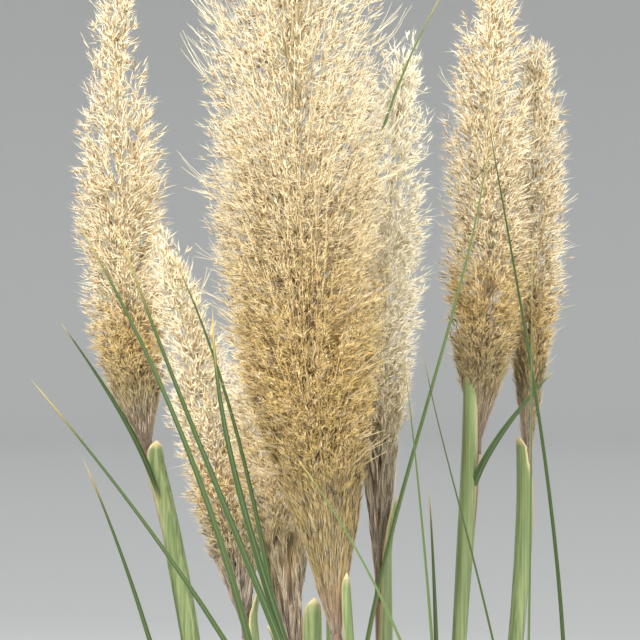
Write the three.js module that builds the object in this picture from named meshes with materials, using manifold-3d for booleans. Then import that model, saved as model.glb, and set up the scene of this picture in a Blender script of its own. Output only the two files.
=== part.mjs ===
// Pampas grass plant, a dwarf clump cut off at the ground: a woody crown, a ring of leafy shoots that arch
// outwards in a fountain, upright shoots in its heart, and tall stems that each carry one feathery plume.
// Millimetres, +Z up, and the origin is the centre of the crown's flat underside. The tallest plume stands at the
// front, on the -Y side.
import * as THREE from "three";
import { mergeVertices } from "three/addons/utils/BufferGeometryUtils.js";
import Module from "manifold-3d";

const wasm = await Module();
wasm.setup();

// ---- Driving dimensions ----
const SEAT_GAP = 0.3; // clearance between a foot and the hole that it stands in
const CROWN = { radius: 128, height: 56, holeFloor: 25, sides: 14, stubs: 18 };
const SHOOTS = { count: 12, ring: 104, firstAzimuth: 25, halfSpread: 10, blades: 7 };
const SHOOT_FOOT = { halfLength: 24, halfWidth: 11, top: 62 };
const TILLER = { spacing: 15, start: 52, height: 58, footRadius: 8.6, topRadius: 5.5, sides: 5 };
const BLADE = { width: 8, keel: 1.5, thinnest: 0.7, steps: 5 };
const HEART = { radius: 12, blades: 6 };
// The upright shoots: where each stands, and the seed of its blades, which pass clear of every neighbour.
const HEART_SHOOTS = [
  { at: [-62, -38], seed: 84 },
  { at: [62, -28], seed: 1409 },
  { at: [4, 34], seed: 305 },
  { at: [2, 74], seed: 6767 },
];
const STEM = { footRadius: 6.5, topRadius: 4.4, sides: 6, steps: 5 };
const SHEATH = { below: 150, keel: 3.2 };
const HEART_SHARE = 0.6; // a plume's dense heart, as a share of the plume's radius

// Each stem and its plume: where the stem stands on the crown, the plume's foot, its bend and its tip, its
// largest radius, how soon it swells (rise), how blunt its top is (fall), the rows and sides of its skin, and the
// sheaths that stand beside its foot: the side that each is on, how far it rises past the foot, and its width.
const PLUMES = [
  { foot: [12, -66], base: [13, -120, 692], bend: [-16, -122, 850], tip: [-24, -120, 1298],
    radius: 71, rise: 0.45, fall: 8, sides: 12, rows: 18, sheaths: [[-24, 57, 15]] },
  { foot: [-12, -22], base: [-17, -35, 652], bend: [-36, -33, 790], tip: [-50, -30, 960],
    radius: 27, rise: 0.28, fall: 6, sides: 7, rows: 10, sheaths: [[200, 48, 15], [-30, 70, 17]] },
  { foot: [-46, 2], base: [-55, 12, 684], bend: [-70, 12, 800], tip: [-120, 12, 993],
    radius: 26, rise: 0.25, fall: 4, sides: 7, rows: 10, sheaths: [[0, 48, 15]] },
  { foot: [-44, 46], base: [-134, 80, 812], bend: [-160, 82, 905], tip: [-162, 88, 1211],
    radius: 33, rise: 0.27, fall: 6, sides: 7, rows: 10, sheaths: [[10, 18, 18]] },
  { foot: [30, 8], base: [46, 20, 711], bend: [40, 20, 900], tip: [66, 22, 1148],
    radius: 27, rise: 0.35, fall: 6, sides: 7, rows: 10, sheaths: [[-10, 80, 15]] },
  { foot: [58, 32], base: [122, 70, 820], bend: [134, 72, 960], tip: [134, 74, 1221],
    radius: 33, rise: 0.25, fall: 6, sides: 7, rows: 10, sheaths: [[215, 70, 15]] },
  { foot: [50, 62], base: [168, 134, 800], bend: [172, 136, 980], tip: [176, 138, 1151],
    radius: 25, rise: 0.3, fall: 6, sides: 7, rows: 10, sheaths: [[215, 30, 15]] },
];

// Tall leaves with a course of their own: the shoot that each grows from, three more points of its cubic curve,
// and its width.
const TALL_LEAVES = [
  { shoot: 9, curve: [[135, -160, 440], [-31, -212, 686], [-133, -222, 986]], width: 8 },
  { shoot: 9, curve: [[120, -150, 480], [-71, -205, 727], [-71, -208, 932]], width: 9 },
  { shoot: 8, curve: [[19, -150, 521], [-37, -205, 777], [-163, -210, 994]], width: 6.5 },
  { shoot: 8, curve: [[132, -140, 439], [-36, -172, 693], [-194, -185, 884]], width: 6 },
  { shoot: 10, curve: [[156, -140, 439], [94, -190, 690], [-18, -203, 836]], width: 6 },
  { shoot: 10, curve: [[104, -84, 400], [86, -70, 700], [61, -66, 895]], width: 6 },
  { shoot: 11, curve: [[152, -60, 330], [150, -78, 640], [152, -84, 985]], width: 9 },
  { shoot: 11, curve: [[232, -18, 487], [100, 0, 749], [76, -8, 908]], width: 6 },
  { shoot: 0, curve: [[251, 30, 519], [174, 14, 805], [124, 16, 1098]], width: 7 },
];

// Leaves on the stems: the stem, the height of the joint that each grows from, three more points of its curve,
// and its width.
const STEM_LEAVES = [
  { stem: 1, z: 330, curve: [[-8, -40, 520], [-22, -78, 800], [-108, -66, 974]], width: 5 },
  { stem: 0, z: 300, curve: [[10, -50, 640], [-30, -42, 980], [98, -50, 1176]], width: 5.5 },
  { stem: 4, z: 380, curve: [[-34, 6, 624], [111, -4, 888], [127, -6, 1062]], width: 5 },
  { stem: 2, z: 240, curve: [[-66, -6, 420], [-96, -20, 640], [-176, -24, 822]], width: 6.5 },
  { stem: 3, z: 770, curve: [[-131, 52, 815], [-150, 44, 852], [-200, 44, 922]], width: 6 },
  { stem: 5, z: 772, curve: [[113, 60, 801], [146, 50, 848], [180, 46, 884]], width: 6.5 },
  { stem: 6, z: 300, curve: [[96, 118, 460], [100, 158, 640], [92, 208, 780]], width: 6.5 },
];

const COLOURS = {
  crown: 0x8a7350,
  leaf: 0x6f8a45,
  stem: 0x9aa56c,
  plume: 0xcdb27c,
};

// ---- Tools ----
const rad = THREE.MathUtils.degToRad;
const V = (x, y, z) => new THREE.Vector3(x, y, z);
const mix = THREE.MathUtils.lerp;

// A seeded stream of numbers: each call gives the next one, between low and high.
function draws(seed) {
  let state = seed;
  return (low, high) => {
    state = (state * 16807) % 2147483647;
    return low + (high - low) * (state / 2147483647);
  };
}

function solidOf(geometry) {
  const bare = geometry.clone();
  bare.deleteAttribute("normal");
  bare.deleteAttribute("uv");
  const merged = mergeVertices(bare, 1e-4);
  return new wasm.Manifold(
    new wasm.Mesh({
      numProp: 3,
      vertProperties: new Float32Array(merged.attributes.position.array),
      triVerts: new Uint32Array(merged.index.array),
    }),
  );
}

function fuse(solids) {
  let row = solids;
  while (row.length > 1) {
    const next = [];
    for (let i = 0; i < row.length; i += 2) next.push(i + 1 < row.length ? row[i].add(row[i + 1]) : row[i]);
    row = next;
  }
  return row[0];
}

function meshOf(name, solid, colour, roughness = 0.8) {
  const made = solid.getMesh();
  const geometry = new THREE.BufferGeometry();
  geometry.setAttribute("position", new THREE.BufferAttribute(new Float32Array(made.vertProperties), 3));
  geometry.setIndex(new THREE.BufferAttribute(new Uint32Array(made.triVerts), 1));
  geometry.computeVertexNormals();
  const material = new THREE.MeshStandardMaterial({ color: colour, roughness, metalness: 0 });
  const mesh = new THREE.Mesh(geometry, material);
  mesh.name = name;
  return mesh;
}

// A closed solid swept along points. section(t, i) gives the ring at share t of the way, as [across, up] pairs
// in anticlockwise order; across is the given direction made square to the path. A pointed sweep ends in one
// vertex.
function sweep(points, across, section, pointed) {
  const last = points.length - 1;
  const position = [];
  const index = [];
  const ringCount = pointed ? last : last + 1;
  let sides = 0;
  for (let i = 0; i < ringCount; i++) {
    const tangent = points[Math.min(i + 1, last)].clone().sub(points[Math.max(i - 1, 0)]).normalize();
    const side = across.clone().addScaledVector(tangent, -across.dot(tangent)).normalize();
    const up = tangent.clone().cross(side);
    const ring = section(i / last, i);
    sides = ring.length;
    for (const [a, b] of ring)
      position.push(...points[i].clone().addScaledVector(side, a).addScaledVector(up, b).toArray());
  }
  const start = position.length / 3;
  position.push(...points[0].toArray(), ...points[last].toArray());
  const end = start + 1;
  for (let k = 0; k < sides; k++) {
    const n = (k + 1) % sides;
    index.push(start, n, k);
    for (let i = 0; i + 1 < ringCount; i++) {
      const a = i * sides;
      index.push(a + k, a + n, a + sides + n, a + k, a + sides + n, a + sides + k);
    }
    const top = (ringCount - 1) * sides;
    index.push(end, top + k, top + n);
  }
  const geometry = new THREE.BufferGeometry();
  geometry.setAttribute("position", new THREE.BufferAttribute(new Float32Array(position), 3));
  geometry.setIndex(index);
  return solidOf(geometry);
}

// A ring of n corners on an ellipse.
const oval = (n, halfAcross, halfUp) =>
  Array.from({ length: n }, (_, k) => {
    const turn = (2 * Math.PI * k) / n;
    return [halfAcross * Math.cos(turn), halfUp * Math.sin(turn)];
  });

// A leaf's cross-section: a flat upper face over a keel.
const keeled = (width, keel) => [
  [0, -keel],
  [width / 2, 0],
  [-width / 2, 0],
];

const compass = (degrees) => V(Math.cos(rad(degrees)), Math.sin(rad(degrees)), 0);
const acrossOf = (degrees) => V(-Math.sin(rad(degrees)), Math.cos(rad(degrees)), 0);

// ---- Leaves ----
// Width of a blade along its length: narrow at the foot, widest at a third, then a long taper.
function bladeWidth(t) {
  const swell = 0.62 + 0.38 * Math.min(1, t / 0.3);
  const taper = 1 - 0.86 * Math.max(0, (t - 0.3) / 0.7) ** 1.6;
  return swell * taper;
}

function bladeSolid(points, across, width) {
  const section = (t) => {
    const share = bladeWidth(t);
    return keeled(width * share, Math.max(BLADE.thinnest, BLADE.keel * share));
  };
  return sweep(points, across, section, true);
}

// Points of an arching blade: it leaves its foot at angle lean from the vertical and has turned to droop at its
// tip.
function arch(foot, azimuth, length, lean, droop, curl, steps) {
  const outward = compass(azimuth);
  const points = [foot.clone()];
  const point = foot.clone();
  const fine = 8;
  for (let i = 0; i < steps * fine; i++) {
    const angle = rad(mix(lean, droop, ((i + 0.5) / (steps * fine)) ** curl));
    const step = length / (steps * fine);
    point.addScaledVector(outward, step * Math.sin(angle));
    point.z += step * Math.cos(angle);
    if ((i + 1) % fine === 0) points.push(point.clone());
  }
  return points;
}

// The numbers of one blade of one shoot. Blades take turns at being tall, and low and drooping.
function bladeForm(shoot, blade, draw) {
  const share = (blade + 0.5) / SHOOTS.blades;
  const tall = ((blade * 3) % SHOOTS.blades) / (SHOOTS.blades - 1);
  return {
    azimuth: shootAzimuth(shoot) + (2 * share - 1) * SHOOTS.halfSpread + draw(-1.5, 1.5),
    length: mix(470, 660, 1 - Math.abs(tall - 0.5) * 1.2) + draw(-35, 35),
    lean: mix(22, 8, tall) + draw(-1.5, 1.5),
    droop: mix(145, 55, tall) + draw(-10, 10),
    curl: draw(1.3, 1.8),
    width: BLADE.width * draw(0.8, 1.1),
  };
}

const shootAzimuth = (shoot) => SHOOTS.firstAzimuth + (360 / SHOOTS.count) * shoot;
const shootPlace = (shoot) => compass(shootAzimuth(shoot)).multiplyScalar(SHOOTS.ring);

// The three tillers of a shoot stand in a row across its azimuth and lean outwards a little.
function tillerPoint(shoot, tiller, height) {
  const azimuth = shootAzimuth(shoot);
  return shootPlace(shoot)
    .addScaledVector(acrossOf(azimuth), (tiller - 1) * TILLER.spacing)
    .addScaledVector(compass(azimuth), height * 0.12)
    .add(V(0, 0, TILLER.start + height));
}

function cubic(points, steps) {
  const curve = new THREE.CubicBezierCurve3(...points);
  return curve.getPoints(steps);
}

// The middle lines, azimuths and widths of all the blades of a shoot, the tall ones last.
function shootBlades(shoot) {
  const draw = draws(1009 + 37 * shoot);
  const made = [];
  for (let blade = 0; blade < SHOOTS.blades; blade++) {
    const form = bladeForm(shoot, blade, draw);
    const foot = tillerPoint(shoot, blade % 3, draw(26, 48));
    const points = arch(foot, form.azimuth, form.length, form.lean, form.droop, form.curl, BLADE.steps);
    made.push({ points, azimuth: form.azimuth, width: form.width });
  }
  TALL_LEAVES.filter((leaf) => leaf.shoot === shoot).forEach((leaf, i) => {
    const foot = tillerPoint(shoot, (i * 2) % 3, 40);
    const points = cubic([foot, ...leaf.curve.map((p) => V(...p))], BLADE.steps + 2);
    made.push({ points, azimuth: shootAzimuth(shoot), width: leaf.width });
  });
  return made;
}

function shootSolid(shoot) {
  const azimuth = shootAzimuth(shoot);
  const place = shootPlace(shoot);
  const bottom = CROWN.holeFloor + SEAT_GAP;
  const pieces = [
    sweep(
      [place.clone().setZ(bottom), place.clone().setZ(SHOOT_FOOT.top)],
      acrossOf(azimuth),
      () => oval(6, SHOOT_FOOT.halfLength, SHOOT_FOOT.halfWidth),
      false,
    ),
  ];
  for (let tiller = 0; tiller < 3; tiller++) {
    const section = (t) => {
      const radius = mix(TILLER.footRadius, TILLER.topRadius, t);
      return oval(TILLER.sides, radius, radius);
    };
    const points = [tillerPoint(shoot, tiller, 0), tillerPoint(shoot, tiller, TILLER.height)];
    pieces.push(sweep(points, acrossOf(azimuth), section, false));
  }
  for (const { points, azimuth: side, width } of shootBlades(shoot))
    pieces.push(bladeSolid(points, acrossOf(side), width));
  return fuse(pieces);
}

// ---- Upright shoots in the heart of the clump ----
function heartForm(blade, draw) {
  return {
    azimuth: (blade + draw(-0.42, 0.42)) * (360 / HEART.blades),
    length: draw(440, 600),
    lean: draw(3, 12),
    droop: draw(18, 42),
    curl: draw(1.3, 1.8),
    width: BLADE.width * draw(0.8, 1.1),
  };
}

// One thick tiller with blades all round it.
function heartSolid({ at, seed }) {
  const low = V(...at, CROWN.holeFloor + SEAT_GAP);
  const high = V(...at, TILLER.start + TILLER.height);
  const section = (t) => oval(6, HEART.radius * (1 - 0.4 * t), HEART.radius * (1 - 0.4 * t));
  const pieces = [sweep([low, high], V(1, 0, 0), section, false)];
  const draw = draws(7919 * seed);
  for (let blade = 0; blade < HEART.blades; blade++) {
    const form = heartForm(blade, draw);
    const foot = high.clone().addScaledVector(compass(form.azimuth), 3);
    foot.z -= draw(14, 34);
    const points = arch(foot, form.azimuth, form.length, form.lean, form.droop, form.curl, BLADE.steps);
    pieces.push(bladeSolid(points, acrossOf(form.azimuth), form.width));
  }
  return fuse(pieces);
}

// ---- Stems ----
const axisOf = (plume) => new THREE.QuadraticBezierCurve3(V(...plume.base), V(...plume.bend), V(...plume.tip));

// A stem leaves the crown upright and meets the plume's foot in the plume's own direction.
function stemCurve(plume) {
  const bottom = V(plume.foot[0], plume.foot[1], CROWN.holeFloor + SEAT_GAP);
  const away = axisOf(plume).getTangent(0);
  const top = V(...plume.base).addScaledVector(away, -2 * SEAT_GAP);
  const reach = (top.z - bottom.z) / 3;
  const lean = V(top.x - bottom.x, top.y - bottom.y, 0).multiplyScalar(0.25);
  const low = bottom.clone().add(lean).add(V(0, 0, reach));
  return new THREE.CubicBezierCurve3(bottom, low, top.clone().addScaledVector(away, -reach), top);
}

function pointAtHeight(curve, z) {
  let low = 0;
  let high = 1;
  for (let i = 0; i < 30; i++) {
    const middle = (low + high) / 2;
    if (curve.getPoint(middle).z < z) low = middle;
    else high = middle;
  }
  return curve.getPoint(low);
}

function stemLeafPoints(leaf) {
  const joint = pointAtHeight(stemCurve(PLUMES[leaf.stem]), leaf.z);
  return cubic([joint, ...leaf.curve.map((p) => V(...p))], BLADE.steps);
}

// The split sheath of a top leaf: a keeled strip that leaves the stem below the plume and stands beside its
// foot.
function sheathSolid(plume, curve, [side, above, width]) {
  const outward = compass(side);
  const up = axisOf(plume).getTangent(0);
  const besideFoot = (along) => plumeRadius(plume, along / plumeLength(plume)) * 1.14 + 6.5;
  const rows = [
    [-SHEATH.below, 0, 0.7],
    [-SHEATH.below * 0.45, 4.2, 1],
    [-2, 8.4, 0.95],
    [above * 0.68, besideFoot(above * 0.68) + 2, 0.68],
    [above, besideFoot(above) + 2, 0],
  ];
  const points = rows.map(([along, out]) => {
    const onStem = along < 0;
    const middle = onStem ? pointAtHeight(curve, plume.base[2] + along) : V(...plume.base).addScaledVector(up, along);
    return middle.addScaledVector(outward, out);
  });
  return sweep(points, acrossOf(side), (t, i) => keeled(width * rows[i][2], SHEATH.keel * rows[i][2]), true);
}

function stemSolid(plume, number) {
  const curve = stemCurve(plume);
  const section = (t) => {
    const radius = mix(STEM.footRadius, STEM.topRadius, t);
    return oval(STEM.sides, radius, radius);
  };
  const pieces = [sweep(curve.getPoints(STEM.steps), V(1, 0, 0), section, false)];
  for (const sheath of plume.sheaths) pieces.push(sheathSolid(plume, curve, sheath));
  for (const leaf of STEM_LEAVES.filter((l) => l.stem === number)) {
    const points = stemLeafPoints(leaf);
    const run = points.at(-1).clone().sub(points[0]);
    pieces.push(bladeSolid(points, V(-run.y, run.x, 0).normalize(), leaf.width));
  }
  return fuse(pieces);
}

// ---- Plumes ----
const plumeLength = (plume) => V(...plume.base).distanceTo(V(...plume.tip));

// Radius at share u of the plume's length: a slender foot that swells, and a blunt top.
function plumeRadius(plume, u) {
  const swell = 1 - Math.exp(-((u / plume.rise) ** 1.7));
  const taper = Math.max(0, 1 - u ** plume.fall) ** 0.6;
  return STEM.topRadius + (plume.radius - STEM.topRadius) * swell * taper;
}

// A point beside the plume's axis: at share u of its length, at an azimuth, at a distance.
function besideAxis(axis, u, azimuth, distance) {
  const clamped = Math.min(Math.max(u, 0), 1);
  const up = axis.getTangent(clamped);
  const side = V(1, 0, 0).addScaledVector(up, -up.x).normalize();
  const front = up.clone().cross(side);
  return axis
    .getPoint(clamped)
    .addScaledVector(up, (u - clamped) * axis.getLength())
    .addScaledVector(side, distance * Math.cos(azimuth))
    .addScaledVector(front, distance * Math.sin(azimuth));
}

// A plume is one skin over its dense heart, laid out in diamonds as on a pine cone. Each diamond rises into a
// lock, a tuft of side branches that leans upwards, bends outwards and ends in a point beyond the heart.
function plumeSolid(plume, number) {
  const axis = axisOf(plume);
  const length = axis.getLength();
  const { sides, rows } = plume;
  const draw = draws(7 + 101 * number);
  const position = [];
  const index = [];
  const add = (point) => position.push(...point.toArray()) / 3 - 1;
  const heartTop = 0.93;
  const shareOf = (row) => (heartTop * row) / rows;
  const corner = (row, k) => row * sides + ((k + sides) % sides);
  const azimuthOf = (row, k) => ((k + (row % 2) / 2) * 2 * Math.PI) / sides;
  for (let row = 0; row <= rows; row++) {
    const u = shareOf(row);
    const radius = row === 0 ? STEM.topRadius : plumeRadius(plume, u) * HEART_SHARE;
    for (let k = 0; k < sides; k++) add(besideAxis(axis, u, azimuthOf(row, k), radius));
  }
  const foot = add(axis.getPoint(0));
  const summit = add(axis.getPoint(1));
  for (let k = 0; k < sides; k++) {
    const between = rows % 2 ? k + 1 : k;
    index.push(foot, corner(0, k + 1), corner(0, k), corner(0, k), corner(0, k + 1), corner(1, k));
    index.push(corner(rows - 1, between), corner(rows, k + 1), corner(rows, k));
    index.push(corner(rows, k), corner(rows, k + 1), summit);
  }
  for (let row = 0; row + 2 <= rows; row++) {
    for (let k = 0; k < sides; k++) {
      const left = row % 2 ? k : k - 1;
      const diamond = [corner(row, k), corner(row + 1, left + 1), corner(row + 2, k), corner(row + 1, left)];
      const u = shareOf(row + 1);
      const azimuth = azimuthOf(row, k);
      const here = plumeRadius(plume, u);
      const reach = ((16 + 0.85 * here) * draw(0.8, 1.25)) / length;
      const envelope = Math.max(here * 0.9, plumeRadius(plume, Math.min(0.96, u + reach)));
      const tipRadius = envelope * draw(0.98, 1.14) + 2;
      const tip = besideAxis(axis, u + reach, azimuth + draw(-0.1, 0.1), tipRadius);
      const bendRadius = mix(here * HEART_SHARE, tipRadius, 0.52);
      const bend = besideAxis(axis, u + reach * 0.5, azimuth, bendRadius);
      const along = tip.clone().sub(bend).normalize();
      const outward = bend.clone().sub(axis.getPoint(Math.min(1, u + reach * 0.5)));
      const across = axis.getTangent(Math.min(1, u)).cross(outward).normalize();
      const inward = along.clone().cross(across).normalize();
      const half = (here * HEART_SHARE * Math.PI * 0.55) / sides;
      const ring = [[0, -0.55], [1, 0], [0, 0.3], [-1, 0]].map(([a, b]) =>
        add(bend.clone().addScaledVector(across, a * half).addScaledVector(inward, b * half)),
      );
      const point = add(tip);
      for (let n = 0; n < 4; n++) {
        const m = (n + 1) % 4;
        index.push(diamond[n], diamond[m], ring[m], diamond[n], ring[m], ring[n], ring[n], ring[m], point);
      }
    }
  }
  const geometry = new THREE.BufferGeometry();
  geometry.setAttribute("position", new THREE.BufferAttribute(new Float32Array(position), 3));
  geometry.setIndex(index);
  return solidOf(geometry);
}

// ---- Crown ----
function crownSolid() {
  const outline = [
    [0, 0],
    [112, 0],
    [CROWN.radius, 12],
    [124, 34],
    [100, 50],
    [0, CROWN.height],
  ].map(([x, y]) => new THREE.Vector2(x, y));
  const lathe = new THREE.LatheGeometry(outline, CROWN.sides).rotateX(Math.PI / 2);
  let crown = solidOf(lathe);
  const draw = draws(451);
  const stubs = [];
  for (let i = 0; i < CROWN.stubs; i++) {
    const azimuth = (360 / CROWN.stubs) * i + draw(-3, 3);
    const outward = compass(azimuth);
    const low = outward.clone().multiplyScalar(112).setZ(14);
    const middle = outward.clone().multiplyScalar(121).setZ(44);
    const tip = outward.clone().multiplyScalar(draw(122, 136)).setZ(draw(62, 104));
    const width = draw(13, 19);
    const section = (t) => keeled(width * (1 - 0.4 * t), 7 * (1 - 0.5 * t));
    stubs.push(sweep([low, middle, tip], acrossOf(azimuth), section, true));
  }
  crown = fuse([crown, ...stubs]);
  const holes = [];
  const above = CROWN.height + 60;
  for (let shoot = 0; shoot < SHOOTS.count; shoot++) {
    const place = shootPlace(shoot);
    const ring = () => oval(6, SHOOT_FOOT.halfLength + 2 * SEAT_GAP, SHOOT_FOOT.halfWidth + 2 * SEAT_GAP);
    const points = [place.clone().setZ(CROWN.holeFloor), place.clone().setZ(above)];
    holes.push(sweep(points, acrossOf(shootAzimuth(shoot)), ring, false));
  }
  for (const { at } of HEART_SHOOTS) {
    const radius = HEART.radius + 2 * SEAT_GAP;
    const points = [V(...at, CROWN.holeFloor), V(...at, above)];
    holes.push(sweep(points, V(1, 0, 0), () => oval(6, radius, radius), false));
  }
  for (const plume of PLUMES) {
    const radius = STEM.footRadius + 2 * SEAT_GAP;
    const [low, high] = stemCurve(plume).getPoints(STEM.steps);
    const along = high.clone().sub(low).normalize();
    const points = [low.clone().addScaledVector(along, -2 * SEAT_GAP), high];
    holes.push(sweep(points, V(1, 0, 0), () => oval(STEM.sides, radius, radius), false));
  }
  return crown.subtract(fuse(holes));
}

// ---- The plant ----
const plant = new THREE.Group();
plant.add(meshOf("crown", crownSolid(), COLOURS.crown, 0.95));
for (let shoot = 0; shoot < SHOOTS.count; shoot++) {
  const number = String(shoot + 1).padStart(2, "0");
  plant.add(meshOf("leafy_shoot_" + number, shootSolid(shoot), COLOURS.leaf, 0.6));
}
HEART_SHOOTS.forEach((shoot, i) => {
  plant.add(meshOf("heart_shoot_" + (i + 1), heartSolid(shoot), COLOURS.leaf, 0.6));
});
PLUMES.forEach((plume, i) => {
  plant.add(meshOf("stem_" + (i + 1), stemSolid(plume, i), COLOURS.stem, 0.6));
  plant.add(meshOf("plume_" + (i + 1), plumeSolid(plume, i), COLOURS.plume, 0.95));
});

export default plant;
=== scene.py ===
# %% [markdown]
# # A clump of pampas grass
# The plant is a dwarf pampas grass, cut off at the ground: a woody crown, a fountain of narrow leaves, and
# tall stems that each carry one feathery plume. The solid model gives the places and sizes. Here every
# piece gets its fine form: florets, silky hairs, folded blades, split sheaths and fibres. Each form is a
# formula on whole numpy arrays, so thousands of small shapes are made in one step.

import bpy
import numpy as np
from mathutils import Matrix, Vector


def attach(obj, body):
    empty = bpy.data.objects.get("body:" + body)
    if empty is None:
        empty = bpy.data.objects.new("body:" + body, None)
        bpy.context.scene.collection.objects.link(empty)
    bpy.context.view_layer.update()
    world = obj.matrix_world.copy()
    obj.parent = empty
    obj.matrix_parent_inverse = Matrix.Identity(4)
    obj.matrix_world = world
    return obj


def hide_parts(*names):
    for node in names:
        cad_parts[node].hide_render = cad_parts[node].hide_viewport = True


MM = 0.001
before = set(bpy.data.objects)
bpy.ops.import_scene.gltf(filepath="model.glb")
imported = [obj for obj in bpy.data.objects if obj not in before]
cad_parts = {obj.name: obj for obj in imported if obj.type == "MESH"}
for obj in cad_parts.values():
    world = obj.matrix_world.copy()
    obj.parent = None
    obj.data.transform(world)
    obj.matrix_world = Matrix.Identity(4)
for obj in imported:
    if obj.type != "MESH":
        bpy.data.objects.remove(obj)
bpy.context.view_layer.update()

# %% [markdown]
# ## The plan of the plant
# These are the driving places, in millimetres, nearly all as the solid model has them. A stem rises from
# its foot, and a plume's axis is a quadratic curve from its base to its tip, pulled towards its bend. The
# front one also has a small `sway` to the side, low down. The radius swells from the stem's own width, as
# fast as `rise` says, and closes at the top, as bluntly as `fall` says. A row of `sheaths` holds the side
# that a sheath stands on, in degrees, its reach above the plume's base and its width. Where it also stands
# off by itself, the way it faces and the distance follow.

# %% Places and sizes
STEM = {"foot": 6.5, "top": 4.4, "bottom": 25.3}
PLUMES = [
    dict(foot=(12, -66), base=(13, -120, 692), bend=(-16, -122, 850), tip=(-24, -120, 1298),
         radius=71, rise=0.45, fall=8, sway=4.5, sheaths=((-24, 57, 8.5, -60, 14),)),
    dict(foot=(-12, -22), base=(-17, -35, 652), bend=(-36, -33, 790), tip=(-50, -30, 960),
         radius=27, rise=0.28, fall=6, sheaths=((200, 48, 15), (-26, 70, 16, -70, 22))),
    dict(foot=(-46, 2), base=(-55, 12, 684), bend=(-70, 12, 800), tip=(-120, 12, 993),
         radius=26, rise=0.25, fall=4, sheaths=((0, 48, 15),)),
    dict(foot=(-44, 46), base=(-134, 80, 812), bend=(-160, 82, 905), tip=(-162, 88, 1211),
         radius=33, rise=0.27, fall=6, sheaths=((10, 18, 18, -50, 5),)),
    dict(foot=(30, 8), base=(46, 20, 711), bend=(40, 20, 900), tip=(66, 22, 1148),
         radius=27, rise=0.35, fall=6, sheaths=((-10, 80, 15),)),
    dict(foot=(58, 32), base=(122, 70, 820), bend=(134, 72, 960), tip=(134, 74, 1221),
         radius=33, rise=0.25, fall=6, sheaths=((215, 66, 14, 232, 10),)),
    dict(foot=(50, 62), base=(168, 134, 800), bend=(172, 136, 980), tip=(176, 138, 1151),
         radius=25, rise=0.30, fall=6, sheaths=((215, 30, 15),)),
]
print("plumes", len(PLUMES))

# %% [markdown]
# ## Small tools
# A plant is the same few shapes many times over. Scattered copies could repeat them, but every floret and
# blade here has its own size and lean. So the tools take a whole family at once: `curves` gives the points
# of many curves, `loft` skins many swept shapes, and `piece` turns the arrays into one mesh. Each mesh is
# closed, and its volume is printed: a positive one means that the faces point outwards.

# %% Vectors and curves
EAST, UP = np.array([1.0, 0, 0]), np.array([0, 0, 1.0])


def unit(v):
    """Each vector divided by its own length."""
    return v / np.maximum(np.linalg.norm(v, axis=-1, keepdims=True), 1e-9)


def square_to(along, v):
    """The part of each vector that is square to a direction, made a unit vector."""
    return unit(v - (v * along).sum(-1, keepdims=True) * along)


def crosswise(along):
    """A vector well off each direction: X where it is steep, and Z elsewhere."""
    return np.where(np.abs(along[..., 2:]) > 0.8, EAST, UP)


def curves(corners, t):
    """Points and directions of cubic curves: (1-t)^3 A + 3(1-t)^2 t B + 3(1-t)t^2 C + t^3 D, and its slope.
    corners has the shape (n, 4, 3), and t is (n, m) or (m,)."""
    a, b, c, d = (corners[:, None, i] for i in range(4))
    t = np.broadcast_to(t, (len(corners), np.shape(t)[-1]))[..., None]
    s = 1 - t
    points = s**3 * a + 3 * s**2 * t * b + 3 * s * t**2 * c + t**3 * d
    slopes = 3 * s**2 * (b - a) + 6 * s * t * (c - b) + 3 * t**2 * (d - c)
    return points, unit(slopes)


def directions(paths):
    """The direction along each path at each of its points, from the points on either side."""
    return unit(np.gradient(paths, axis=1))


def turns(count):
    """Angles in even steps round a circle."""
    return np.arange(count) * 2 * np.pi / count


def compass(degrees):
    """The level unit vector at an azimuth, anticlockwise from +X."""
    turn = np.radians(degrees)
    return np.stack([np.cos(turn), np.sin(turn), np.zeros_like(turn)], -1)


print("the compass at 0 and 90 degrees", compass(np.array([0, 90])).round(3).tolist())


# %% Skins
def repeated(triangles, size, count):
    """The triangles of one shape, numbered again for each of its copies of size points."""
    return (triangles[None] + size * np.arange(count)[:, None, None]).reshape(-1, 3)


def loft(rings):
    """Triangles of n swept shapes, each of m rings of k points: two triangles join each pair of neighbours
    on two rings, and the end rings are closed by strips that pair point i with point k-1-i. rings is (n, m,
    k, 3)."""
    n, m, k = rings.shape[:3]
    i, j = np.meshgrid(np.arange(m - 1), np.arange(k), indexing="ij")
    a, b = i * k + j, i * k + (j + 1) % k
    walls = np.stack([a, b, b + k, a, b + k, a + k], -1).reshape(-1, 3)
    strip = np.arange((k - 1) // 2)
    quads = np.stack([strip, strip + 1, k - 2 - strip, k - 1 - strip], -1)
    low = np.concatenate([quads[:, [0, 2, 1]], quads[:, [0, 3, 2]]])
    low = low[(low[:, 0] != low[:, 1]) & (low[:, 1] != low[:, 2]) & (low[:, 0] != low[:, 2])]
    high = low[:, ::-1] + (m - 1) * k
    return repeated(np.concatenate([walls, low, high]), m * k, n)


def skinned(rings, **values):
    """The points and triangles of swept shapes as one set, with any values on their points."""
    return dict(points=rings.reshape(-1, 3), triangles=loft(rings), **values)


def rings_on(paths, across, section):
    """Rings of section points set square to each path. section is (..., k, 2): a distance along across,
    then one along up, where up is the path's direction turned a quarter from across."""
    along = directions(paths)
    side = square_to(along, across)
    up = np.cross(along, side)
    return paths[:, :, None] + side[:, :, None] * section[..., :1] + up[:, :, None] * section[..., 1:]


def tubes(paths, radii, sides):
    """Rings of round tubes: a circle of the given radius at each point of each path."""
    circle = np.stack([np.cos(turns(sides)), np.sin(turns(sides))], -1)
    return rings_on(paths, crosswise(directions(paths)), radii[..., None, None] * circle)


print("triangles of a tube of 6 rings and 8 sides", len(loft(np.zeros((1, 6, 8, 3)))))

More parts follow.
